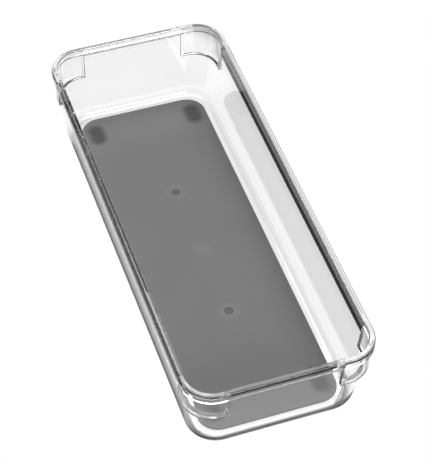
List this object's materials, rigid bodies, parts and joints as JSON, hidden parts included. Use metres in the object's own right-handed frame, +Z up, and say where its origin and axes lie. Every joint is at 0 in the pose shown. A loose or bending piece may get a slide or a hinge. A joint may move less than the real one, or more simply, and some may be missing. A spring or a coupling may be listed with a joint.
{
  "type": "drawer organizer tray",
  "caption": "Clear rectangular drawer tray with a flat rim, leaning walls, stepped corners, a soft grip liner on the floor and grip feet.",
  "frame": {"origin": "on the surface that the feet stand on, under the middle of the tray", "axes": "+X across the tray, +Y along its long side, +Z up out of its mouth"},
  "size_m": [0.1016, 0.254, 0.05],
  "materials": {
    "clear_shell": "clear, polished",
    "liner_rubber": "fine matte grain",
    "foot_rubber": "fine matte grain"
  },
  "bodies": {
    "root": {"tray_shell": "clear_shell", "grip_liner": "liner_rubber", "foot_back_left": "foot_rubber", "foot_back_right": "foot_rubber", "foot_front_left": "foot_rubber", "foot_front_right": "foot_rubber"}
  },
  "joints": []
}
